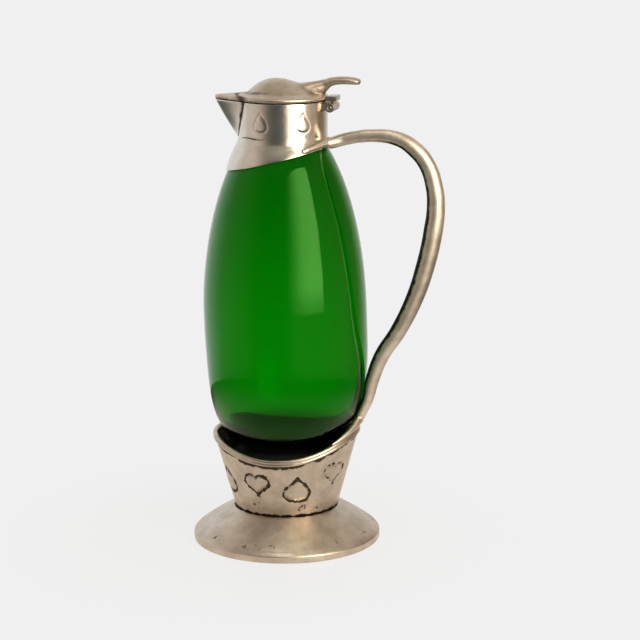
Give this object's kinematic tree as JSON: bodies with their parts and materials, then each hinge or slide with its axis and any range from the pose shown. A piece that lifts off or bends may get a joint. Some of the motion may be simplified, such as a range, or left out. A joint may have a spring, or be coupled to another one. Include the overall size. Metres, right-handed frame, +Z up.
{
  "type": "ewer with hinged lid",
  "caption": "Tall green glass ewer in pewter mounts with a spreading foot, a looped handle, a beak spout and a hinged lid with thumbpiece.",
  "frame": {"origin": "bottom centre of the whole ewer's bounding box, on the surface that the foot stands on; the jug's own upright axis is at x = -0.02145", "axes": "+Z up along the jug, spout towards -X, handle towards +X"},
  "size_m": [0.1641, 0.1218, 0.3007],
  "materials": {
    "satin_pewter": "satin pewter, warm grey, darkened in the recesses",
    "polished_pewter": "polished pewter",
    "green_glass": "clear deep green, blown",
    "bedding_cement": "matt, near black bedding cement"
  },
  "bodies": {
    "jug": {"foot": "satin_pewter", "cup": "satin_pewter", "cup_rim_wire": "satin_pewter", "glass_bed": "bedding_cement", "glass_body": "green_glass", "neck_bed": "bedding_cement", "collar": "polished_pewter", "spout": "polished_pewter", "hinge_lug_near": "satin_pewter", "hinge_lug_far": "satin_pewter", "hinge_pin": "polished_pewter", "handle": "satin_pewter"},
    "lid": {"lid_plate": "satin_pewter", "beak_cover": "satin_pewter", "lid_dome": "satin_pewter", "thumbpiece": "satin_pewter", "hinge_leaf": "satin_pewter"}
  },
  "joints": [
    {"name": "lid_hinge", "type": "hinge", "parent": "jug", "child": "lid", "pos_m": [0.01035, 0, 0.2819], "axis": [0, 1, 0], "range_deg": [0, 73]}
  ]
}
